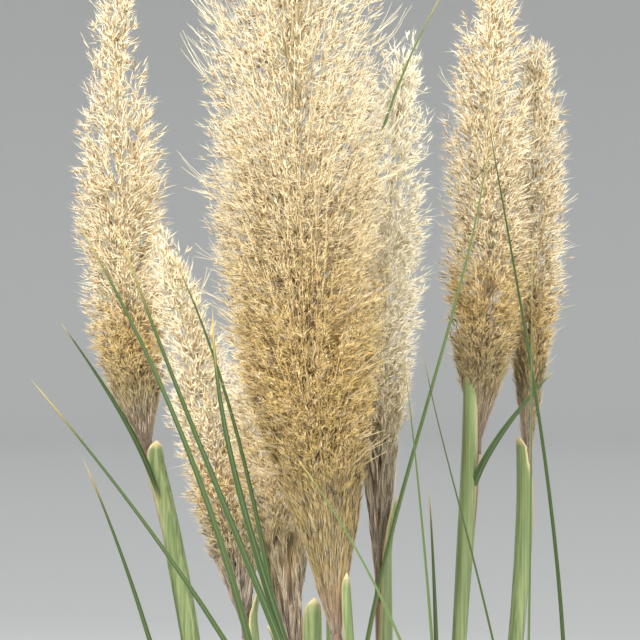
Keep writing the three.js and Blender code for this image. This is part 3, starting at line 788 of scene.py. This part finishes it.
def blades(paths, across, width, tint, dry, stations):
    """One family of blades, with the values that the leaf finish reads: each point's place across and along
    its blade, and the blade's tint and dryness."""
    n, m = paths.shape[:2]
    t = np.linspace(0, 1, m)
    section, s = blade_section(t, width, stations)
    rings = rings_on(paths, across[:, None], section)
    k = rings.shape[2]
    return skinned(rings, across=np.tile(s, n * m), along=np.tile(np.repeat(t, k), n),
                   tint=np.repeat(tint, m * k), dry=np.repeat(dry, m * k))


print("width of a blade at its foot, third and tip", blade_width(np.array([0, 0.3, 1])).round(2).tolist())


# %% How blades arch
def arch(foot, azimuth, length, lean, droop, curl, rings, fine=40):
    """Points of arching blades. The angle from the vertical turns from lean to droop as the power curl of
    the way along, and the points add up small steps at that angle."""
    t = (np.arange(fine) + 0.5) / fine
    angle = np.radians(lean[:, None] + (droop - lean)[:, None] * t[None] ** curl[:, None])
    step = (length / fine)[:, None]
    zero = np.zeros((len(foot), 1))
    outward = np.concatenate([zero, np.cumsum(step * np.sin(angle), 1)], 1)
    upward = np.concatenate([zero, np.cumsum(step * np.cos(angle), 1)], 1)
    pick = np.linspace(0, fine, rings).round().astype(int)
    run = compass(azimuth)[:, None] * outward[:, pick, None]
    return foot[:, None] + run + UP * upward[:, pick, None]


def arched(forms, tint, dry, stations=3, rings=15):
    """Blades from rows of foot, azimuth, length, lean, droop, curl and width."""
    paths = arch(forms[:, :3], *forms[:, 3:8].T, rings=rings)
    return blades(paths, compass(forms[:, 3] + 90), forms[:, 8], tint, dry, stations)


FACTOR, PRIME = 16807, 2147483647


def draws(seed):
    """The seeded stream of numbers that the solid model uses: each is FACTOR times the last, modulo a
    prime."""
    state = seed

    def draw(low, high):
        """The next number of the stream, between limits."""
        nonlocal state
        state = state * FACTOR % PRIME
        return low + (high - low) * state / PRIME

    return draw


print("the first number of a stream", round(draws(1009)(0, 1), 4))

# %% The blades of a leafy shoot
SHOOT = {"count": 12, "ring": 104, "first": 25, "spread": 10, "blades": 7, "extra": 17, "length": 470,
         "longer": 190}
TILLER = {"spacing": 15, "start": 52, "low": -24, "height": 58, "foot": 8.6, "top": 5.5}
BLADE_WIDTH = 8


def shoot_azimuth(shoot):
    """The shoots stand in even steps round the crown."""
    return SHOOT["first"] + 360 / SHOOT["count"] * shoot


def tiller_point(shoot, tiller, height):
    """A point on one of a shoot's three tillers, which stand in a row and lean outwards a little."""
    azimuth = shoot_azimuth(shoot)
    out, along = compass(azimuth), compass(azimuth + 90)
    up = UP * (TILLER["start"] + height)
    return out * (SHOOT["ring"] + 0.12 * height) + along * (tiller - 1) * TILLER["spacing"] + up


def full_length(tall):
    """Length of a blade from how tall it stands in its tuft: the middle ones are the longest."""
    return SHOOT["length"] + SHOOT["longer"] * (1 - np.abs(tall - 0.5) * 1.2)


def shoot_forms(shoot):
    """Foot, azimuth, length, lean, droop, curl and width of the solid model's blades on a shoot."""
    draw = draws(1009 + 37 * shoot)
    rows = []
    for blade in range(SHOOT["blades"]):
        share = (blade + 0.5) / SHOOT["blades"]
        tall = blade * 3 % SHOOT["blades"] / (SHOOT["blades"] - 1)
        azimuth = shoot_azimuth(shoot) + (2 * share - 1) * SHOOT["spread"] + draw(-1.5, 1.5)
        length = full_length(tall) + draw(-35, 35)
        lean = 22 - 14 * tall + draw(-1.5, 1.5)
        droop = 145 - 90 * tall + draw(-10, 10)
        curl, width = draw(1.3, 1.8), BLADE_WIDTH * draw(0.8, 1.1)
        foot = tiller_point(shoot, blade % 3, draw(26, 48))
        rows.append([*foot, azimuth, length, lean, droop, curl, width])
    return np.array(rows)


def filling_forms(shoot, chance):
    """More blades for the same tuft, somewhat shorter and narrower, with numbers drawn within like
    limits."""
    n = SHOOT["extra"]
    tall = chance.uniform(0, 1, n)
    foot = np.array([tiller_point(shoot, i % 3, h) for i, h in enumerate(chance.uniform(8, 52, n))])
    azimuth = shoot_azimuth(shoot) + chance.uniform(-15, 15, n)
    length = full_length(tall) * chance.uniform(0.55, 0.98, n)
    lean, droop = 24 - 18 * tall + chance.normal(0, 2, n), 140 - 92 * tall + chance.normal(0, 9, n)
    curl, width = chance.uniform(1.2, 2.0, n), BLADE_WIDTH * chance.uniform(0.45, 0.95, n)
    return np.column_stack([foot, azimuth, length, lean, droop, curl, width])


print("blades on a shoot", SHOOT["blades"] + SHOOT["extra"])

# %% Tall leaves
# Leaves with a course of their own: the shoot, counted from 0, three more corners of the curve, the width,
# and the tint, from dark to pale.
TALL_LEAVES = [
    (9, ((135, -160, 440), (-31, -212, 686), (-133, -222, 986)), 8, 0.12),
    (9, ((120, -150, 480), (-71, -205, 727), (-71, -208, 932)), 9, 0.05),
    (8, ((19, -150, 521), (-37, -205, 777), (-163, -210, 994)), 6.5, 0.3),
    (8, ((132, -140, 439), (-36, -172, 693), (-194, -185, 884)), 6, 0.3),
    (10, ((156, -140, 439), (94, -190, 690), (-18, -203, 836)), 6, 0.85),
    (10, ((104, -84, 400), (86, -70, 700), (61, -66, 895)), 6, 0.65),
    (11, ((152, -60, 330), (150, -78, 640), (152, -84, 985)), 9, 0.8),
    (11, ((232, -18, 487), (100, 0, 749), (76, -8, 908)), 6, 0.2),
    (0, ((251, 30, 519), (174, 14, 805), (124, 16, 1098)), 7, 0.3),
]


def tall_blades(shoot, rings=33):
    """The tall leaves that grow from a shoot, as one family, or nothing where it has none."""
    mine = [leaf for leaf in TALL_LEAVES if leaf[0] == shoot]
    if not mine:
        return []
    feet = [tiller_point(shoot, i * 2 % 3, 40) for i in range(len(mine))]
    corners = np.array([[foot, *leaf[1]] for foot, leaf in zip(feet, mine)], float)
    width, tint = np.array([leaf[2:] for leaf in mine], float).T
    across = np.tile(compass(shoot_azimuth(shoot) + 90), (len(mine), 1))
    return [blades(curves(corners, np.linspace(0, 1, rings))[0], across, width, tint, 0 * tint, 7)]


print("tall leaves", len(TALL_LEAVES))


# %% Grow the leafy shoots
def tiller_tubes(low, high, foot, top, rings=6, sides=8):
    """The sheathed bases that blades grow from, as tubes that taper."""
    t = np.linspace(0, 1, rings)[None, :, None]
    paths = low[:, None] + (high - low)[:, None] * t
    radii = foot + (top - foot) * np.broadcast_to(t[..., 0], (len(low), rings))
    along = np.tile(np.repeat(np.linspace(0, 0.08, rings), sides), len(low))
    around = np.tile(np.linspace(-0.7, 0.7, sides), rings * len(low))
    return skinned(tubes(paths, radii, sides), across=around, along=along, tint=np.full(len(along), 0.6),
                   dry=np.full(len(along), 0.35))


def dry_few(share, count, chance):
    """How dry each blade is: almost wholly for a few, and not at all for the rest."""
    return (chance.uniform(0, 1, count) > 1 - share) * 0.9


def leafy_shoot(shoot):
    """Own blades, filling blades, tillers and tall leaves, as one piece."""
    chance = np.random.default_rng(500 + shoot)
    own, more = shoot_forms(shoot), filling_forms(shoot, chance)
    low = np.array([tiller_point(shoot, i, TILLER["low"]) for i in range(3)])
    high = np.array([tiller_point(shoot, i, TILLER["height"]) for i in range(3)])
    made = join(
        arched(own, chance.uniform(0.05, 0.6, len(own)), np.zeros(len(own)), stations=5, rings=21),
        arched(more, chance.uniform(0, 0.8, len(more)), dry_few(0.12, len(more), chance)),
        tiller_tubes(low, high, TILLER["foot"], TILLER["top"]),
        *tall_blades(shoot),
    )
    piece(f"leafy_shoot_{shoot + 1:02d}_blades", LEAF, "leaf", [f"leafy_shoot_{shoot + 1:02d}"], **made)


for shoot in range(SHOOT["count"]):
    leafy_shoot(shoot)

# %% Upright shoots in the heart
HEART = {"radius": 12, "low": 26, "blades": 6, "extra": 16, "extra_foot": 96}
HEART_SHOOTS = [((-62, -38), 84), ((62, -28), 1409), ((4, 34), 305), ((2, 74), 6767)]


def heart_forms(at, seed):
    """The solid model's blades on an upright shoot, all round it."""
    draw = draws(7919 * seed)
    rows = []
    for blade in range(HEART["blades"]):
        azimuth = (blade + draw(-0.42, 0.42)) * 360 / HEART["blades"]
        length, lean, droop = draw(440, 600), draw(3, 12), draw(18, 42)
        curl, width = draw(1.3, 1.8), BLADE_WIDTH * draw(0.8, 1.1)
        foot = np.array([*at, TILLER["start"] + TILLER["height"]]) + 3 * compass(azimuth)
        foot[2] -= draw(14, 34)
        rows.append([*foot, azimuth, length, lean, droop, curl, width])
    return np.array(rows)


def heart_shoot(number, at, seed):
    """Own blades, filling blades and the tiller of an upright shoot, as one piece."""
    chance = np.random.default_rng(700 + number)
    own, n = heart_forms(at, seed), HEART["extra"]
    azimuth = chance.uniform(0, 360, n)
    foot = np.array([*at, HEART["extra_foot"]]) + compass(azimuth) * chance.uniform(2, 9, (n, 1))
    limits = ((260, 520), (1, 12), (12, 48), (1.2, 2), (3.5, 7.5))
    more = np.column_stack([foot, azimuth, *(chance.uniform(*pair, n) for pair in limits)])
    low, high = np.array([[*at, HEART["low"]]]), np.array([[*at, TILLER["start"] + TILLER["height"]]])
    made = join(
        arched(own, chance.uniform(0.1, 0.7, len(own)), np.zeros(len(own)), stations=5, rings=21),
        arched(more, chance.uniform(0.1, 0.9, n), dry_few(0.15, n, chance)),
        tiller_tubes(low, high, HEART["radius"], HEART["radius"] * 0.6),
    )
    piece(f"heart_shoot_{number}_blades", LEAF, "leaf", [f"heart_shoot_{number}"], **made)


for number, (at, seed) in enumerate(HEART_SHOOTS, 1):
    heart_shoot(number, at, seed)

# %% [markdown]
# ## Stems and sheaths
# A flowering stem is a round culm with a leaf sheath wrapped round it. Near the plume the sheath opens: one
# side stands up beside the plume's foot in a tan-edged point, and the culm shows mauve-brown above its
# mouth. The sheath could be a cone cut open, but a real one changes its wrap all the way up. So it is a
# trough whose angle and radius follow curves, with a real wall.

# %% Stem finish
STALK, tree, shader = finish_of("sheathed_stem", Roughness=0.45)
streak = use(tree, fibres, Across=520.0, Along=9.0, Detail=3.0)["Grain"]
green = mix(tree, ramp(tree, streak, 0.35, 0.7), colour(90, 106, 60), colour(128, 139, 92))
mauve = mix(tree, ramp(tree, streak, 0.35, 0.7), colour(112, 84, 74), colour(166, 144, 116))
skin = mix(tree, value_of(tree, "near"), green, mauve)
skin = mix(tree, value_of(tree, "margin"), skin, colour(198, 176, 130))
dress(tree, shader, skin, streak, 0.3, 0.0003)


# %% The course of a stem
def stem_corners(plume):
    """The stem leaves the crown upright and meets the plume's foot in the plume's own direction."""
    bottom = np.array([*plume["foot"], STEM["bottom"]], float)
    base, away = (v[0] for v in on_axis(plume, np.array([0.0])))
    top = base - away * 0.6
    reach = (top[2] - bottom[2]) / 3
    lean = (top - bottom) * np.array([0.25, 0.25, 0])
    return np.array([[bottom, bottom + lean + [0, 0, reach], top - away * reach, top]])


def at_height(plume, z):
    """The stem's point at each height."""
    points = curves(stem_corners(plume), np.linspace(0, 1, 300))[0][0]
    return np.stack([np.interp(z, points[:, 2], points[:, i]) for i in range(3)], -1)


print("the front stem at 400 mm", at_height(PLUMES[0], 400.0).round(1).tolist())

# %% Culm and sheaths
# The heights of a sheath are over the plume's base: its foot, its middle, and where it starts to open.
JOINT_SPACING = 150
SHEATH_LOW, SHEATH_MIDDLE, SHEATH_OPENS = -300, -150, -60
SHEATH_WALL, CLASP = 0.5, 5.6
MAUVE_REACH = 95


def culm(plume, rings=72, sides=12):
    """A tube along the stem. Below the sheaths, a joint every JOINT_SPACING swells it by an eighth."""
    paths = curves(stem_corners(plume), np.linspace(0, 1, rings))[0]
    z = paths[..., 2]
    radii = STEM["foot"] + (STEM["top"] - STEM["foot"]) * np.linspace(0, 1, rings)[None]
    off_joint = z % JOINT_SPACING - JOINT_SPACING / 2
    joint = np.exp(-(off_joint / 5) ** 2) * (z < plume["base"][2] + SHEATH_MIDDLE - 10)
    skin = tubes(paths, radii * (1 + 0.12 * joint), sides)
    below = plume["base"][2] - skin[..., 2].ravel()
    return skinned(skin, near=np.exp(-((below / MAUVE_REACH) ** 2)), margin=0.0 * below)


def sheath(plume, side, above, width, face=None, stand=0, rings=34, stations=9):
    """A trough that wraps the stem, opens at the plume's foot and closes to a blunt point beside it. z is
    the height over the plume's base. Its middle line leans away from the stem, and its half-angle and
    radius follow smooth curves of z. Where `stand` is given, its tip stands that far off by itself and
    turns its back to `face`."""
    closed = np.linspace(SHEATH_LOW, SHEATH_OPENS, 12)[:-1]
    z = np.concatenate([closed, np.linspace(SHEATH_OPENS, above, rings - len(closed))])
    facing = np.interp(z, [SHEATH_OPENS, 0], [side, side if face is None else face])
    base, away = (v[0] for v in on_axis(plume, np.array([0.0])))
    centre = np.where(z[:, None] < 0, at_height(plume, plume["base"][2] + z), base + away * z[:, None])
    hug = outline(plume, share_and_depth(plume, centre)[0])
    at_mouth, at_tip = max(1.5, 0.55 * stand), max(3.0, stand)
    out = np.interp(z, [SHEATH_LOW, SHEATH_MIDDLE, 0, above], [0.0, 0.4, at_mouth, at_tip])
    centre = centre + compass(float(side)) * out[:, None]
    half_angle = np.interp(z, [SHEATH_LOW, -110, -50, 0, above - 22, above - 8, above - 2.5, above],
                           [3.0, 2.9, 2.3, 1.6, 1.25, 1.0, 0.55, 0.06])
    wrap = np.interp(z, [SHEATH_LOW, SHEATH_MIDDLE, 0], [CLASP, 0.42 * width, width / 2])
    loose = CLASP + (width / 2 - CLASP) * np.clip(z / 30 + 1, 0, 1)
    radius = np.maximum(loose if stand else hug + 1.0, wrap)
    s = np.linspace(-1, 1, stations)
    turn = s[None] * half_angle[:, None] * np.minimum(1, (width / 2) / radius[:, None]) ** 0.8
    turn = turn + np.radians(facing)[:, None]
    spoke = np.stack([np.cos(turn), np.sin(turn), 0 * turn], -1)
    outer = centre[:, None] + spoke * radius[:, None, None]
    inner = centre[:, None] + spoke * (radius - SHEATH_WALL)[:, None, None]
    ring = np.concatenate([outer, inner[:, ::-1]], 1)[None]
    close_to_edge = np.clip((np.abs(np.concatenate([s, s[::-1]])) - 0.8) / 0.2, 0, 1)[None]
    open_part = np.clip((z + 70) / 60, 0, 1)[:, None]
    margin = np.maximum(close_to_edge * open_part, np.clip((z[:, None] - above + 7) / 5, 0, 1))
    return skinned(ring, near=0 * margin.ravel(), margin=margin.ravel())


print("sheaths", sum(len(plume["sheaths"]) for plume in PLUMES))

# %% Stems with their leaves
# One leaf on each stem: the height where it leaves the stem, three more corners of its curve, width, tint.
STEM_LEAVES = [
    (300, ((10, -50, 640), (-30, -42, 980), (98, -50, 1176)), 5, 0.9),
    (330, ((-8, -40, 520), (-22, -78, 800), (-108, -66, 974)), 5, 0.3),
    (240, ((-66, -6, 420), (-96, -20, 640), (-176, -24, 822)), 6.5, 0.2),
    (770, ((-131, 52, 815), (-150, 44, 852), (-200, 44, 922)), 4.5, 0.1),
    (380, ((-34, 6, 624), (111, -4, 888), (127, -6, 1062)), 4, 0.95),
    (772, ((113, 60, 801), (146, 50, 848), (180, 46, 884)), 6.5, 0.1),
    (300, ((96, 118, 460), (100, 158, 640), (92, 208, 780)), 6.5, 0.4),
]
LEAF_ACROSS = unit(np.array([[1.0, 0.3, 0]]))


def stem(number, plume, z, corners, width, tint):
    """The two pieces of a stem: the culm with its sheaths, and the leaf."""
    nodes = [f"stem_{number}"]
    made = join(culm(plume), *(sheath(plume, *row) for row in plume["sheaths"]))
    piece(f"stem_{number}_culm", STALK, "stem", nodes, **made)
    path = curves(np.array([[at_height(plume, float(z)), *corners]]), np.linspace(0, 1, 31))[0]
    leaf = blades(path, LEAF_ACROSS, np.array([width]), np.array([tint]), np.zeros(1), 7)
    piece(f"stem_{number}_leaf", LEAF, "leaf", nodes, **leaf)


for number, (plume, leaf) in enumerate(zip(PLUMES, STEM_LEAVES), 1):
    stem(number, plume, *leaf)

# %% [markdown]
# ## The crown
# The foot of an old clump is a mat of dead leaf bases round short woody shoots. A rough lump could stand
# for it, but from close by it is leaf bases through and through. So it is a flat-bottomed mound with a
# fibrous skin, and rows of dry, split sheaths stand in it between the living shoots.

# %% Crown finish
BARK, tree, shader = finish_of("old_leaf_bases", Roughness=0.85)
grain = use(tree, fibres, Across=260.0, Along=24.0, Detail=5.0)["Grain"]
place = node(tree, "ShaderNodeTexCoord").outputs["Object"]
patch = node(tree, "ShaderNodeTexNoise", place, None, 38.0, 2.0).outputs[0]
wood = mix(tree, ramp(tree, grain, 0.35, 0.68), colour(78, 56, 36), colour(168, 134, 88))
wood = over(tree, ramp(tree, patch, 0.5, 0.75), 0.6, wood, 112, 98, 64)
dress(tree, shader, wood, grain, 0.8, 0.002)

# %% The mound
# The outline runs out along the flat underside, up the rounded rim and in over the top. Each ridge is a
# count round the rim, a height and a turn.
MOUND_LINE = [(0.01, 0), (60, 0), (112, 0), (124, 5), (128, 14), (127, 26), (120, 40), (100, 50), (50, 55),
              (0.01, 56)]
RIDGES = ((17, 1.6, 0.4), (41, 1.2, 2.0), (73, 0.9, 4.1))


def mound(around=180, up=26):
    """A turned surface of the outline. Ridges of several spacings, each a sine round the axis, push the rim
    in and out, and the underside stays flat."""
    line = np.array(MOUND_LINE)
    reach = np.concatenate([[0], np.cumsum(np.linalg.norm(np.diff(line, axis=0), axis=1))])
    r, z = (np.interp(np.linspace(0, reach[-1], up), reach, line[:, i]) for i in range(2))
    turn = turns(around)
    ridge = sum(height * np.sin(count * turn + start) for count, height, start in RIDGES)
    rough = ridge[None] * np.clip(z / 12, 0, 1)[:, None] * np.clip(r / 100, 0, 1)[:, None]
    wide = r[:, None] + rough
    grid = np.stack([wide * np.cos(turn), wide * np.sin(turn), np.broadcast_to(z[:, None], wide.shape)], -1)
    return skinned(grid[None])


piece("crown_mound", BARK, "crown", ["crown"], **mound())


# %% Old sheaths and dead leaves
def strips(foot, azimuth, wander, limits, chance):
    """Rows for `arched`: each strip wanders off its azimuth, and its length, lean, droop, curl and width
    are drawn between limits."""
    n = len(foot)
    azimuth = azimuth + chance.uniform(-wander, wander, n)
    return np.column_stack([foot, azimuth, *(chance.uniform(*pair, n) for pair in limits)])


def old_sheaths(count=300, dead=54):
    """Short dry strips that stand in the crown, most of them round its rim, and long dead blades that hang
    over the rim and trail on the ground."""
    chance = np.random.default_rng(31)
    azimuth = np.arange(count) * 360 / count * 7 + chance.uniform(-6, 6, count)
    rim = np.arange(count) % 4 > 0
    radius = np.where(rim, chance.uniform(121, 128, count), chance.uniform(25, 116, count))
    low = np.where(rim, chance.uniform(4, 38, count), 50)
    foot = compass(azimuth) * radius[:, None] + UP * low[:, None]
    limits = ((30, 95), (-6, 16), (5, 60), (1, 2), (7, 17))
    forms = strips(foot, azimuth, 20, limits, chance)
    short = arched(forms, chance.uniform(0, 1, count), chance.uniform(0.75, 1, count), rings=6)
    azimuth = np.arange(dead) * 360 / dead + chance.uniform(-8, 8, dead)
    foot = compass(azimuth) * 112 + UP * chance.uniform(50, 82, (dead, 1))
    limits = ((130, 330), (20, 52), (120, 165), (0.8, 1.4), (4, 8))
    forms = strips(foot, azimuth, 12, limits, chance)
    long = arched(forms, chance.uniform(0, 1, dead), chance.uniform(0.85, 1, dead))
    long["points"][:, 2] = np.maximum(long["points"][:, 2], 1.0)
    return join(short, long)


piece("crown_old_sheaths", LEAF, "crown", ["crown"], **old_sheaths())

# %% [markdown]
# ## Floor, light and camera
# A plant is easiest to judge in soft daylight on plain ground. A floor with an edge would show a horizon,
# so this one is a wide pale disc that curves up into a low wall far behind. The light is soft: a bright
# sky, a large key lamp from the upper left, a weaker one from the right, and one from behind that lights
# the plumes' edges.

# %% Floor
FLAT_REACH, WALL_BEND = 16, 4


def studio_floor(around=96):
    """A turned sheet: flat to FLAT_REACH metres, then a quarter circle up to a wall."""
    bend = np.linspace(0, np.pi / 2, 12)[1:]
    r = np.concatenate([[0.01, 4, 10, FLAT_REACH], FLAT_REACH + WALL_BEND * np.sin(bend), [20.2]])
    z = np.concatenate([[0, 0, 0, 0], WALL_BEND - WALL_BEND * np.cos(bend), [7.0]])
    turn, level = turns(around), np.broadcast_to(z[:, None], (len(r), around))
    points = np.stack([r[:, None] * np.cos(turn), r[:, None] * np.sin(turn), level], -1)
    i, j = np.meshgrid(np.arange(len(r) - 1), np.arange(around), indexing="ij")
    a, b = i * around + j, i * around + (j + 1) % around
    quads = np.stack([a, a + around, b + around, b], -1).reshape(-1, 4)
    mesh = bpy.data.meshes.new("studio_floor")
    mesh.from_pydata(points.reshape(-1, 3).tolist(), [], quads.tolist())
    mesh.shade_smooth()
    floor = in_scene("studio_floor", mesh)
    material, _, shader = finish_of("studio_paper", Roughness=0.9)
    shader.inputs["Base Color"].default_value = colour(196, 197, 194)
    mesh.materials.append(material)
    return floor


floor = studio_floor()
print("floor", len(floor.data.polygons), "faces")


# %% Light
def lamp(name, place, height, size, power):
    """A round soft lamp that looks at the plant's middle line, at a height."""
    data = bpy.data.lights.new(name, "AREA")
    data.shape, data.size, data.energy = "DISK", size, power
    made = in_scene(name, data)
    made.location = place
    run = height * UP - place
    made.rotation_euler = Vector(run).to_track_quat("-Z", "Y").to_euler()
    print("lamp", name, power, "W")


lamp("key", (-1.1, -2.9, 3.1), 0.9, 1.9, 255)
lamp("fill", (2.8, -2.0, 1.8), 0.8, 2.4, 94)
lamp("back", (0.6, 2.8, 3.0), 0.9, 2.0, 130)
world = bpy.data.worlds.new("soft_sky")
world.use_nodes = True
world.node_tree.nodes["Background"].inputs[0].default_value = colour(247, 249, 252)
world.node_tree.nodes["Background"].inputs[1].default_value = 0.9
bpy.context.scene.world = world
bpy.context.scene.view_settings.view_transform = "Standard"

# %% Camera
camera = in_scene("camera", bpy.data.cameras.new("camera"))
camera.location = (0.0, -1.72, 0.924)
camera.rotation_euler = (np.pi / 2, 0, 0)
camera.data.lens = 128.6
camera.data.clip_end = 100
bpy.context.scene.camera = camera
print("camera lens", round(camera.data.lens, 1), "mm")
